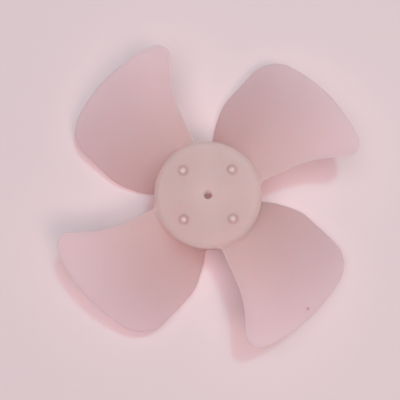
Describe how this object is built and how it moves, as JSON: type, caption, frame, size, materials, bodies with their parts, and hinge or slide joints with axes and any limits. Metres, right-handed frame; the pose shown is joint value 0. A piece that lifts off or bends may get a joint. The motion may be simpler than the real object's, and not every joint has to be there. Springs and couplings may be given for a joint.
{
  "type": "axial fan impeller",
  "caption": "Axial fan impeller moulded in one piece, with broad twisted blades on a cup-shaped hub and a central bore for a motor shaft.",
  "frame": {"origin": "on the fan axis, in the plane of the hub's open rim, which the part rests on", "axes": "+Z along the fan axis, out of the hub's closed front face; the blades lie on the diagonals between +X and +Y"},
  "size_m": [0.108, 0.108, 0.0254],
  "materials": {
    "milky_plastic": "milky, slightly translucent natural plastic with a soft sheen"
  },
  "bodies": {
    "root": {"impeller": "milky_plastic"}
  },
  "joints": []
}
